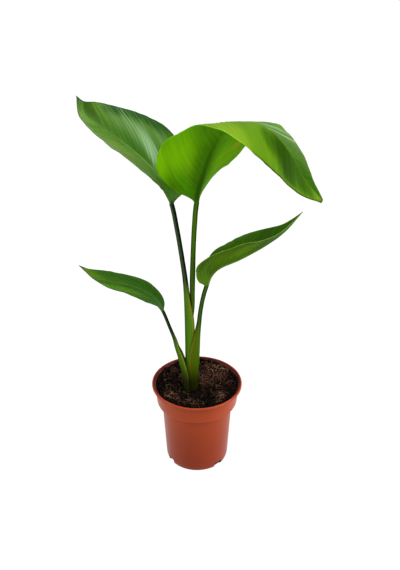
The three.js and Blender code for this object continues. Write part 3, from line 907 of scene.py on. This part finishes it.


# Leaf tissue: streaks along the side veins, soft patches, a rib line, a fine margin and a dark tip,
# with light that shines through the blade. Some patches and bands are painted sheen, painted light
# and painted shade
def leafMaterial(leaf, length):
    grain = leafGrain
    material, tree, shader = newMaterial(leaf["name"])
    run, reach, edge = split(attribute(tree, "leafPlace"))
    across, upper, blade = split(attribute(tree, "leafPart"))
    size = abs(reach)
    leanStart, leanMore, bend = leaf["veins"]
    lean = multiplyAdd(calc("MAXIMUM", run, 0), leanMore / length, leanStart)
    vein = run - multiplyAdd(size, bend, lean) * size
    tissuePlace = combine(vein, reach)
    drift = multiplyAdd(noiseOn(tissuePlace, grain["driftScale"], 2), grain["drift"], vein)

    def streaksOf(name, scale):
        kind = grain[name]
        place = combine(drift, reach * kind["stretch"], kind["shift"])
        return noiseOn(place, scale, kind["detail"], kind["roughness"])

    fineStreaks = streaksOf("fine", leaf["streakScale"])
    broadStreaks = streaksOf("broad", grain["broadScale"])
    fineVeins = calc("SINE", drift * (2 * math.pi / grain["veinSpacing"]))
    lines = streaksOf("lines", leaf["lineScale"])
    darkLines, paleLines = smooth(lines, *grain["darkLines"]), smooth(lines, *grain["paleLines"])
    fineWander, broadWander = grain["wander"]
    wander = multiplyAdd(fineStreaks, fineWander, -fineWander / 2)
    wander = (wander + multiplyAdd(broadStreaks, broadWander, -broadWander / 2)) * leaf["ragged"]

    colour = blendColour(upper, *leaf["tissue"])
    for patch in leaf["patches"]:
        share = patchShare(leaf, tissuePlace, reach, wander, patch, length) * onSide(upper, patch.side)
        if patch.lined:
            share = share * multiplyAdd(paleLines, patch.lined, 1 - patch.lined)
        colour = blendColour(share, colour, paint(*patch.colour))
    margin = leaf["margin"]
    width = margin["width"]
    atEdge = smooth(edge, width, grain["marginEdge"] * width, 0, margin["share"])
    colour = blendColour(atEdge, colour, blendColour(upper, *margin["colours"]))
    for band in leaf["bands"]:
        share = bandShare(run, reach, edge, wander, band)
        if band.lined:
            share = share * multiplyAdd(paleLines, -band.lined, 1.0)
        colour = blendColour(share * onSide(upper, band.side), colour, paint(*band.colour))
    tone = 1.0
    for field, gain in (
        (fineStreaks - 0.5, leaf["streaks"]),
        (broadStreaks - 0.5, leaf["streaks"]),
        (fineVeins, grain["veinTone"]),
        (darkLines, -leaf["darkLines"]),
        (paleLines, leaf["paleLines"]),
    ):
        tone = multiplyAdd(field, gain, tone)
    colour = colour * tone

    line = leaf["ribLine"]
    ribShare = smooth(size / smooth(run, 0, length, *line["half"]), *grain["ribEdge"])
    ribShare = ribShare * smooth(run, line["fadeOut"][1], line["fadeOut"][0], *grain["ribShares"])
    ribShare = ribShare * smooth(run, *line["fadeIn"])
    colour = blendColour(ribShare, colour, blendColour(upper, *line["colours"]))
    tip = leaf["tip"]
    tipPlace = multiplyAdd(fineStreaks, grain["tipRagged"], run)
    atTip = smooth(tipPlace, length - tip["length"] + 1, length + grain["tipPast"])
    colour = blendColour(atTip, colour, tip["colour"])
    colour = blendColour(blade, stalkColour(leaf["stalkColours"], run, across, upper), colour)
    height = split(objectPlace(tree))[2]
    foot = smooth(height, *stalkFoot["heights"], 0, stalkFoot["share"])
    colour = blendColour(foot, colour, stalkFoot["colour"])

    roughUnder, roughUpper = leaf["roughness"]
    rough = multiplyAdd(upper, roughUpper - roughUnder, roughUnder - grain["gloss"] / 2)
    rough = multiplyAdd(broadStreaks, grain["gloss"], rough)
    relief = multiplyAdd(fineVeins, grain["veinRelief"], fineStreaks) * blade
    bump = bumpOn(relief, grain["bump"] * mm, grain["bumpStrength"])
    setShader(shader, colour, rough, leaf["specular"], bump)

    translucent = tree.nodes.new("ShaderNodeBsdfTranslucent")
    shining = colour * leaf["through"] * multiplyAdd(ribShare, grain["ribShade"], 1.0)
    feed(translucent.inputs["Color"], shining)
    mix = tree.nodes.new("ShaderNodeMixShader")
    feed(mix.inputs[0], blade * leaf["glow"])
    feed(mix.inputs[1], shader.outputs[0])
    feed(mix.inputs[2], translucent.outputs[0])
    feed(tree.nodes["Material Output"].inputs["Surface"], mix.outputs[0])
    return material


for leaf in (upperLeft, centre, right, left):
    leafPiece(leaf)

# Pot of terracotta plastic, in millimetres: outline from the foot up, with rounded corners
pot = {
    "outline": [
        (0, 0, 0), (39.5, 0, 3.4), (41.6, 6, 3), (46.8, 91, 2.2), (53.4, 92.4, 2.6),
        (56.2, 117.2, 0.8), (60, 117.5, 1.1), (60, 121, 1.5), (57, 121, 1.1), (56.6, 118.9, 0.5),
        (54.8, 118.4, 0.6), (52.1, 93.4, 1), (45.4, 91.8, 1), (40.2, 6, 3), (36.4, 1.8, 2), (0, 1.8, 0),
    ],
    "sides": 200,
    "cornerSteps": 5,
    "cornerLimit": 0.45,
    "longestStep": 6,
    "sharpAngle": 40,
    "slotAngles": [211, 314.5, 29.5, 134.5],
    "slotSize": (12, 12.5, 9.4),
    "slotRadius": 42.7,
    "slotFoot": -1,
    "slotRound": 0.8,
    "slotRoundSteps": 3,
    "colour": paint(155, 58, 19),
    # The shade colour is painted shade towards the foot; the collar's gain is painted light
    "shade": paint(137, 46, 11),
    "collarPaintedLight": 1.12,
    # Painted light under the collar's step, against the shade there
    "stepPaintedLight": 0.6,
    # Soil stain with painted shade inside the lip and down the wall
    "stainAndShade": paint(74, 16, 8),
    "stainSpots": paint(40, 12, 8),
    "stainShare": 0.94,
    # Painted shadow for inside the foot and its bottom edge
    "footShadow": paint(20, 8, 5),
    "clouds": (0.3, 0.7, 0.95, 1.05),
    "streakStretch": 0.12,
    "grainDepth": 0.03,
    "roughness": 0.34,
    "roughStreaks": 0.12,
    "roughStep": 0.5,
    "roughStain": 0.3,
    "specular": 0.16,
}

# Where the pot's colours change, in metres: heights, radii and depths into the wall
potZones = {
    "shade": (0.012, 0.088),
    "collar": [(0.0905, 0.0945), (0.1180, 0.1168)],
    "step": [(0.0885, 0.0905), (0.0955, 0.0935)],
    "footWall": (0.0378, 0.5, 0.005),
    "notchTop": (0.0095, 0.0088),
    "footEdgeShadow": (0.0034, 0.0008, 0, 0.55),
    "lipRagged": 0.0016,
    "lipFront": (-0.02, -0.052, 0, 0.0012),
    "lipInside": (0.0603, 0.0588),
    "lipTop": (0.1176, 0.1184),
    "outerWall": (0.1129, 0.04297),
    "wallDepth": (0.0005, 0.0009),
    "insideFoot": (0.0935, 0.095),
}


# Outline with each corner rounded by its own radius, and long stretches split
def roundedOutline(values):
    corners, steps = values["outline"], values["cornerSteps"]
    points = [np.array(corners[0][:2], float)]
    for i in range(1, len(corners) - 1):
        before, here, after = (np.array(corners[k][:2], float) for k in (i - 1, i, i + 1))
        inward, outward = before - here, after - here
        limits = [values["cornerLimit"] * np.linalg.norm(way) for way in (inward, outward)]
        reach = min(corners[i][2], *limits)
        first, last = here + unit(inward) * reach, here + unit(outward) * reach
        for k in range(steps + 1):
            s = k / steps
            points.append(first * (1 - s) ** 2 + here * 2 * s * (1 - s) + last * s**2)
    points.append(np.array(corners[-1][:2], float))
    cut = [points[0]]
    for point in points[1:]:
        start = cut[-1]
        pieces = max(1, math.ceil(np.linalg.norm(point - start) / values["longestStep"]))
        cut += [start + (point - start) * k / pieces for k in range(1, pieces + 1)]
    return cut


def turnedSurface(outline, sides):
    ring = outline[1:-1]
    points = [(radius * x * mm, radius * y * mm, z * mm) for radius, z in ring for x, y in roundTurns(sides)]
    points += [(0, 0, outline[0][1] * mm), (0, 0, outline[-1][1] * mm)]
    return points, ringFaces(len(ring), sides) + fanFaces(len(ring), sides)


# Moulded plastic with faint clouds. Painted shade darkens it towards the foot, painted light brightens the
# collar and the shade under its step, and painted shadow darkens inside the foot and along its bottom edge.
# Inside the lip and down the wall it is stained by the soil and darkened with painted shade, least at the
# front
def potMaterial(values):
    zones = potZones
    material, tree, shader = newMaterial("pot")
    place = objectPlace(tree)
    x, y, z = split(place)
    radius = calcVector("LENGTH", combine(x, y))

    def within(name):
        foot, top = zones[name]
        return smooth(z, *foot) * smooth(z, *top)

    clouds = noiseOn(place, scale=22, detail=4)
    streaks = noiseOn(combine(x, y, z * values["streakStretch"]), scale=70)
    # Painted shade towards the foot, and painted light on the collar
    colour = blendColour(smooth(z, *zones["shade"]), values["shade"], values["colour"])
    colour = colour * smooth(clouds, *values["clouds"])
    step = within("step")
    gain = multiplyAdd(within("collar"), values["collarPaintedLight"] - 1, 1.0)
    # Painted light: the step under the collar is lightened against its shade
    colour = colour * multiplyAdd(step, values["stepPaintedLight"], gain)
    # Painted shadow: dark inside the foot behind the notches and along the bottom edge
    footRadius, footSlope, footTop = zones["footWall"]
    insideFoot = calc("LESS_THAN", radius, multiplyAdd(calc("MINIMUM", z, footTop), footSlope, footRadius))
    insideFoot = insideFoot * smooth(z, *zones["notchTop"])
    dark = calc("MAXIMUM", insideFoot, smooth(z, *zones["footEdgeShadow"]))
    colour = blendColour(dark, colour, values["footShadow"])
    # Soil stain and painted shade inside the lip and down the wall, least at the front
    ragged = multiplyAdd(noiseOn(place, scale=260), zones["lipRagged"], radius)
    lip = smooth(ragged + smooth(y, *zones["lipFront"]), *zones["lipInside"]) * smooth(z, *zones["lipTop"])
    depth = multiplyAdd(z, *zones["outerWall"]) - radius
    wall = smooth(depth, *zones["wallDepth"]) * smooth(z, *zones["insideFoot"])
    stainAndShade = calc("MAXIMUM", lip, wall)
    spots = smooth(noiseOn(place, scale=480, detail=4), low=0.45, high=0.7)
    soiledAndShaded = blendColour(spots, values["stainAndShade"], values["stainSpots"])
    colour = blendColour(stainAndShade * values["stainShare"], colour, soiledAndShaded)
    rough = multiplyAdd(streaks, values["roughStreaks"], values["roughness"] - values["roughStreaks"] / 2)
    rough = multiplyAdd(stainAndShade, values["roughStain"], multiplyAdd(step, values["roughStep"], rough))
    grain = bumpOn(noiseOn(place, scale=1500, detail=2), values["grainDepth"] * mm, strength=0.5)
    setShader(shader, colour, rough, values["specular"], grain)
    return material


# Bevelled box that cuts one drainage notch
def slotCutter(values, name, turn):
    size = Vector(values["slotSize"]) * mm
    placed = []
    for x, y, z in [(x, y, z) for x in (-0.5, 0.5) for y in (-0.5, 0.5) for z in (0, 1)]:
        out, beside = x * size.x + values["slotRadius"] * mm, y * size.y
        swungX = out * math.cos(turn) - beside * math.sin(turn)
        swungY = out * math.sin(turn) + beside * math.cos(turn)
        placed.append((swungX, swungY, z * size.z + values["slotFoot"] * mm))
    mesh = bpy.data.meshes.new(name)
    sides = [(0, 1, 3, 2), (4, 6, 7, 5), (0, 4, 5, 1), (2, 3, 7, 6), (0, 2, 6, 4), (1, 5, 7, 3)]
    mesh.from_pydata(placed, [], sides)
    cutter = addObject(name, mesh)
    bevel = cutter.modifiers.new("round", "BEVEL")
    bevel.width = values["slotRound"] * mm
    bevel.segments = values["slotRoundSteps"]
    return cutter


def potPiece(values):
    points, faces = turnedSurface(roundedOutline(values), values["sides"])
    piece = addPiece("pot_shell", points, faces, potMaterial(values))
    cutters = []
    for k, angle in enumerate(values["slotAngles"]):
        cutters.append(slotCutter(values, f"slot_{k}", math.radians(angle)))
        cut = piece.modifiers.new(f"slot_{k}", "BOOLEAN")
        cut.object = cutters[-1]
        cut.solver = "EXACT"
    settle(piece)
    for cutter in cutters:
        bpy.data.objects.remove(cutter)
    piece.data.set_sharp_from_angle(angle=math.radians(values["sharpAngle"]))
    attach(piece, "root")
    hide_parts("pot")
    print("pot made,", len(piece.data.polygons), "faces")


potPiece(pot)

# Soil, in millimetres: a lumpy bed that dips to the stems and rises to the wall
soil = {
    "top": 112.8,
    "rise": 5.4,
    "slope": 0.02,
    "relief": 0.9,
    "waves": [(0.5, 0.14, 0.09, 0.6), (0.35, 0.2, 0.2, 1.9), (0.3, 0.16, -0.23, 1.6)],
    "clumps": [(0.09, 1.7), (0.2, 1.8), (0.42, 1.2), (1.0, 0.6)],
    "holeX": -8.2,
    "holeHalf": (10.9, 9.3),
    "holeFloor": 97.5,
    "wallRadius": 54.3,
    "rings": 90,
    "sides": 300,
    "under": [(51.6, 95), (45.0, 92.2), (39.6, 7), (34.6, 2.3)],
    "seed": 4,
    "dark": paint(6, 4, 3),
    "brown": paint(34, 22, 16),
    "red": paint(46, 22, 13),
    "grains": (0.42, 0.72),
    "darkPatches": (0.35, 0.68, 0, 0.7),
    "redPatches": (0.56, 0.72, 0, 0.7),
    "grainDepth": 0.8,
    "betweenHeaps": 0.4,
    "inHeaps": 0.8,
    "roughness": 0.95,
    "specular": 0.02,
    "stemDip": 1.4,
    "stemDipShare": 0.14,
    "clearOfStems": 4,
    "clearOfWall": 50,
    "fewestFibres": 0.13,
}

# Where most fibres lie on the bed: place and spread in millimetres, then how many
fibreHeaps = [
    (18, 20, 18, 1.15),
    (-33, -29, 9, 1.1),
    (30, -30, 8, 0.9),
    (-8, -43, 9, 0.8),
    (-32, 20, 11, 0.35),
]
heapEdge = {"ragged": 20, "spreads": (1.7, 0.6)}


def soilHeight(x, y, part):
    z = soil["top"] + soil["rise"] * part * (2 - part) + soil["slope"] * y * part
    z -= soil["stemDip"] * math.exp(-((part / soil["stemDipShare"]) ** 2))
    for share, alongX, alongY, start in soil["waves"]:
        z += share * soil["relief"] * math.sin(alongX * x + alongY * y + start)
    for frequency, height in soil["clumps"]:
        z += height * noise.noise(Vector((x * frequency, y * frequency, soil["seed"])))
    return z


def fibreShareAt(x, y):
    share = soil["fewestFibres"]
    for heapX, heapY, spread, strength in fibreHeaps:
        share += strength * math.exp(-((x - heapX) ** 2 + (y - heapY) ** 2) / (2 * spread**2))
    halfX, halfY = (half + soil["clearOfStems"] for half in soil["holeHalf"])
    stems = ((x - soil["holeX"]) / halfX) ** 2 + (y / halfY) ** 2
    return 0.0 if stems < 1 or math.hypot(x, y) > soil["clearOfWall"] else share


# 1 in the middle of a heap of fibres, 0 in the dark peat between the heaps
def heapShare(place):
    x, y, z = split(place)
    ragged = heapEdge["ragged"] * mm
    total = 0.0
    for heapX, heapY, spread, strength in fibreHeaps:
        away = calcVector("LENGTH", combine(x - heapX * mm, y - heapY * mm))
        distance = away + multiplyAdd(noiseOn(place, scale=110), ragged, -ragged / 2)
        outer, inner = (share * spread * mm for share in heapEdge["spreads"])
        near = smooth(distance, outer, inner, 0, min(strength, 1))
        total = calc("MAXIMUM", near, total)
    return total


# Peat: near black, browner grains, and a reddish cast in places
def soilMaterial(values):
    material, tree, shader = newMaterial("soil")
    place = objectPlace(tree)
    grain = noiseOn(place, scale=520, detail=6, roughness=0.7)
    colour = blendColour(smooth(grain, *values["grains"]), values["dark"], values["brown"])
    colour = blendColour(smooth(noiseOn(place, scale=48), *values["darkPatches"]), colour, values["dark"])
    colour = blendColour(smooth(noiseOn(place, scale=90), *values["redPatches"]), colour, values["red"])
    colour = colour * smooth(heapShare(place), 0, 1, values["betweenHeaps"], values["inHeaps"])
    bump = bumpOn(grain, values["grainDepth"] * mm)
    setShader(shader, colour, values["roughness"], values["specular"], bump)
    return material


def soilPiece(values):
    sides, rings = values["sides"], values["rings"]
    halfX, halfY = values["holeHalf"]
    middle, turns = values["holeX"], roundTurns(sides)
    points = [(middle + halfX * c, halfY * s, values["holeFloor"]) for c, s in turns]
    for i in range(rings + 1):
        share = i / rings
        for c, s in turns:
            x = (middle + halfX * c) * (1 - share) + values["wallRadius"] * c * share
            y = halfY * s * (1 - share) + values["wallRadius"] * s * share
            points.append((x, y, soilHeight(x, y, share)))
    for radius, z in values["under"]:
        points += [(radius * c, radius * s, z) for c, s in turns]
    total = len(points) // sides
    faces = ringFaces(total, sides, flip=True) + fanFaces(total, sides, flip=True)
    points += [(middle, 0, values["holeFloor"]), (0, 0, values["under"][-1][1])]
    piece = addPiece("soil_bed", np.array(points) * mm, faces, soilMaterial(values))
    count = len(piece.data.polygons)
    marks = np.zeros(count, np.float32)
    marks[sides : sides * (rings + 1)] = 1
    shares = [fibreShareAt(x, y) for x, y, z in points]
    piece.data.attributes.new("topFace", "FLOAT", "FACE").data.foreach_set("value", marks)
    piece.data.attributes.new("fibreShare", "FLOAT", "POINT").data.foreach_set("value", shares)
    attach(piece, "root")
    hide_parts("soil")
    print("soil bed made,", count, "faces")
    return piece


soilBed = soilPiece(soil)


# New geometry tree with named inputs
def newTree(name, inputs):
    tree = bpy.data.node_groups.new(name, "GeometryNodeTree")
    tree.interface.new_socket("Geometry", in_out="INPUT", socket_type="NodeSocketGeometry")
    tree.interface.new_socket("Geometry", in_out="OUTPUT", socket_type="NodeSocketGeometry")
    for label in inputs:
        tree.interface.new_socket(label, in_out="INPUT", socket_type="NodeSocketFloat")
    tree.interface.new_socket("Seed", in_out="INPUT", socket_type="NodeSocketInt")
    tree.interface.new_socket("Material", in_out="INPUT", socket_type="NodeSocketMaterial")
    outputs = tree.nodes.new("NodeGroupInput").outputs
    source = {output.name: Field(output) for output in outputs if output.name}
    return tree, source, tree.nodes.new("NodeGroupOutput")


def openSocket(sockets, name):
    return next(socket for socket in sockets if socket.name == name and socket.enabled)


def geometryNode(tree, kind, settings=None, **inputs):
    node = tree.nodes.new(kind if kind.startswith("Function") else "GeometryNode" + kind)
    for name, value in (settings or {}).items():
        setattr(node, name, value)
    for name, value in inputs.items():
        feed(openSocket(node.inputs, name.replace("_", " ")), value)
    return node


def positionOf(tree):
    return Field(tree.nodes.new("GeometryNodeInputPosition").outputs[0])


def randomValue(tree, kind, low, high, seed):
    node = geometryNode(tree, "FunctionNodeRandomValue", {"data_type": kind}, Min=low, Max=high, Seed=seed)
    return Field(openSocket(node.outputs, "Value"))


def storeValue(tree, geometry, kind, name, value):
    settings = {"data_type": kind, "domain": "INSTANCE"}
    node = geometryNode(tree, "StoreNamedAttribute", settings, Geometry=geometry, Name=name, Value=value)
    return node.outputs["Geometry"]


def readValue(tree, kind, name):
    node = geometryNode(tree, "InputNamedAttribute", {"data_type": kind}, Name=name)
    return Field(openSocket(node.outputs, "Attribute"))


# Instances on points that are strewn over the top faces of the bed, each with a tone
def strewnInstances(tree, source, share, toneSeed, **inputs):
    points = geometryNode(
        tree,
        "DistributePointsOnFaces",
        Mesh=source["Geometry"],
        Selection=readValue(tree, "FLOAT", "topFace"),
        Density=source["Per square metre"] * share,
        Seed=source["Seed"],
    )
    placed = geometryNode(tree, "InstanceOnPoints", Points=points.outputs["Points"], **inputs)
    tone = randomValue(tree, "FLOAT", 0.0, 1.0, toneSeed)
    return storeValue(tree, placed.outputs[0], "FLOAT", "tone", tone)


def finishTree(tree, geometry, material, output):
    node = geometryNode(tree, "SetMaterial", Geometry=geometry, Material=material)
    tree.links.new(node.outputs[0], output.inputs[0])
    return tree


fullTurn = 6.28

# Crumbs: lumpy grains, strewn at any turn and size, most of them small
grainForm = {
    "kinds": 3,
    "segments": 7,
    "rings": 5,
    "apart": 7,
    "lumpScale": 0.9,
    "lumps": 1.7,
    "smallShare": 3,
    "leastSides": (0.7, 0.7, 0.5),
    "mostSides": (1.3, 1.2, 0.9),
}


def crumbTree(form):
    tree, source, output = newTree("soil crumbs", ["Per square metre", "Smallest", "Largest"])
    grains = tree.nodes.new("GeometryNodeJoinGeometry")
    for k in range(form["kinds"]):
        ball = geometryNode(tree, "MeshUVSphere", Segments=form["segments"], Rings=form["rings"], Radius=1.0)
        spot = positionOf(tree) + (form["apart"] * k, 3, 0)
        lumps = noiseOn(spot, form["lumpScale"], 1, 0.5, "Color") - (0.5, 0.5, 0.5)
        bent = geometryNode(tree, "SetPosition", Geometry=ball.outputs["Mesh"], Offset=lumps * form["lumps"])
        alone = geometryNode(tree, "GeometryToInstance")
        tree.links.new(bent.outputs[0], alone.inputs[0])
        tree.links.new(alone.outputs[0], grains.inputs[0])
    spread = calc("POWER", randomValue(tree, "FLOAT", 0.0, 1.0, 5), form["smallShare"])
    size = multiplyAdd(spread, source["Largest"] - source["Smallest"], source["Smallest"])
    strewnGrains = strewnInstances(
        tree,
        source,
        1.0,
        9,
        Instance=grains.outputs[0],
        Pick_Instance=True,
        Instance_Index=randomValue(tree, "INT", 0, form["kinds"] - 1, 6),
        Rotation=randomValue(tree, "FLOAT_VECTOR", (0, 0, 0), (fullTurn,) * 3, 7),
        Scale=randomValue(tree, "FLOAT_VECTOR", form["leastSides"], form["mostSides"], 8) * size,
    )
    real = geometryNode(tree, "RealizeInstances", Geometry=strewnGrains)
    return finishTree(tree, real.outputs[0], source["Material"], output)


# Fibres: threads strewn over the bed, curled, arched, and laid back down on it; heights and
# radii in metres
threadForm = {
    "points": 14,
    "sides": 3,
    "looseRange": 9,
    "mostRadius": 0.0538,
    "leastHeight": 0.1115,
    "rayFrom": 0.2,
    "rayLength": 0.3,
    "seat": 0.6,
}


def fibreTree(form):
    names = ["Per square metre", "Shortest", "Longest", "Thickness", "Curl", "Curl scale", "Arch"]
    tree, source, output = newTree("soil fibres", names)
    line = geometryNode(tree, "CurvePrimitiveLine", Start=(-0.5, 0, 0), End=(0.5, 0, 0))
    thread = geometryNode(tree, "ResampleCurve", Curve=line.outputs[0], Count=form["points"])
    length = randomValue(tree, "FLOAT", source["Shortest"], source["Longest"], source["Seed"])
    threads = strewnInstances(
        tree,
        source,
        readValue(tree, "FLOAT", "fibreShare"),
        12,
        Instance=thread.outputs[0],
        Rotation=randomValue(tree, "FLOAT_VECTOR", (0, 0, 0), (0, 0, fullTurn), 11),
        Scale=combine(length, length, length),
    )
    farthest = form["looseRange"]
    apart = randomValue(tree, "FLOAT_VECTOR", (-farthest,) * 3, (farthest,) * 3, 13)
    loose = storeValue(tree, threads, "FLOAT_VECTOR", "loose", apart)
    real = geometryNode(tree, "RealizeInstances", Geometry=loose)
    place = positionOf(tree)
    own = readValue(tree, "FLOAT_VECTOR", "loose")
    curl = noiseOn(place * source["Curl scale"] + own, 1.0, 1, 0.5, "Color") - (0.5, 0.5, 0.5)
    x, y, z = split(place + curl * source["Curl"])
    outward = calc("MAXIMUM", calcVector("LENGTH", combine(x, y)), mm)
    inward = calc("MINIMUM", calc("DIVIDE", form["mostRadius"], outward), 1.0)
    x, y = x * inward, y * inward
    ray = geometryNode(
        tree,
        "Raycast",
        Target_Geometry=source["Geometry"],
        Source_Position=combine(x, y, form["rayFrom"]),
        Ray_Direction=(0, 0, -1),
        Ray_Length=form["rayLength"],
    )
    bed = calc("MAXIMUM", split(Field(ray.outputs["Hit Position"]))[2], form["leastHeight"])
    way = Field(tree.nodes.new("GeometryNodeSplineParameter").outputs["Factor"])
    lift = calc("SINE", way * math.pi) * (source["Arch"] * abs(split(own)[0]))
    height = bed + lift + source["Thickness"] * form["seat"]
    laid = geometryNode(tree, "SetPosition", Geometry=real.outputs[0], Position=combine(x, y, height))
    profile = geometryNode(tree, "CurvePrimitiveCircle", Resolution=form["sides"], Radius=source["Thickness"])
    tube = geometryNode(
        tree, "CurveToMesh", Curve=laid.outputs[0], Profile_Curve=profile.outputs[0], Fill_Caps=True
    )
    return finishTree(tree, tube.outputs[0], source["Material"], output)


# A run of a tree on a copy of the soil bed
def strewn(name, tree, values):
    piece = addObject(name, soilBed.data.copy())
    modifier = piece.modifiers.new(tree.name, "NODES")
    modifier.node_group = tree
    for item in tree.interface.items_tree:
        if item.item_type == "SOCKET" and item.in_out == "INPUT" and item.name in values:
            modifier[item.identifier] = values[item.name]
    settle(piece)
    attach(piece, "root")
    print(name, "made,", len(piece.data.polygons), "faces")


strewnLook = {
    "tones": (0.1, 0.9),
    "paleEdge": 0.01,
    "mottle": (0.3, 0.7, 0.7, 1.25),
    "roughness": 0.85,
    "specular": 0.06,
}


# Colour of strewn pieces: from a dark to a middle tone, a few pale, darker between the heaps
def strewnMaterial(name, dark, middle, pale, paleFrom, heapGain):
    material, tree, shader = newMaterial(name)
    tone = attribute(tree, "tone", "Fac")
    colour = blendColour(smooth(tone, *strewnLook["tones"]), dark, middle)
    colour = blendColour(smooth(tone, paleFrom, paleFrom + strewnLook["paleEdge"]), colour, pale)
    place = objectPlace(tree)
    mottle = smooth(noiseOn(place, scale=700, detail=2), *strewnLook["mottle"])
    gain = mottle * smooth(heapShare(place), 0, 1, *heapGain)
    setShader(shader, colour * gain, strewnLook["roughness"], strewnLook["specular"])
    return material


# Strewn pieces, in metres
crumbs = {
    "Per square metre": 285000,
    "Smallest": 0.0005,
    "Largest": 0.0024,
    "Seed": 21,
    "Material": strewnMaterial(
        "crumbs", paint(7, 4, 3), paint(31, 20, 14), paint(104, 86, 70), 0.998, (0.3, 0.85)
    ),
}
fibres = {"Shortest": 0.006, "Longest": 0.016, "Curl": 0.011, "Arch": 0.0005}
paleFibres = {
    **fibres,
    "Per square metre": 26000,
    "Thickness": 0.00023,
    "Curl scale": 170,
    "Seed": 22,
    "Material": strewnMaterial(
        "pale fibres", paint(70, 44, 29), paint(114, 78, 55), paint(160, 126, 98), 0.92, (0.5, 1.05)
    ),
}
brownFibres = {
    **fibres,
    "Per square metre": 130000,
    "Thickness": 0.00022,
    "Curl scale": 190,
    "Seed": 23,
    "Material": strewnMaterial(
        "brown fibres", paint(16, 9, 6), paint(99, 66, 49), paint(160, 124, 98), 0.88, (0.4, 1.05)
    ),
}

strewn("soil_crumbs", crumbTree(grainForm), crumbs)
threads = fibreTree(threadForm)
strewn("soil_fibres_pale", threads, paleFibres)
strewn("soil_fibres_brown", threads, brownFibres)
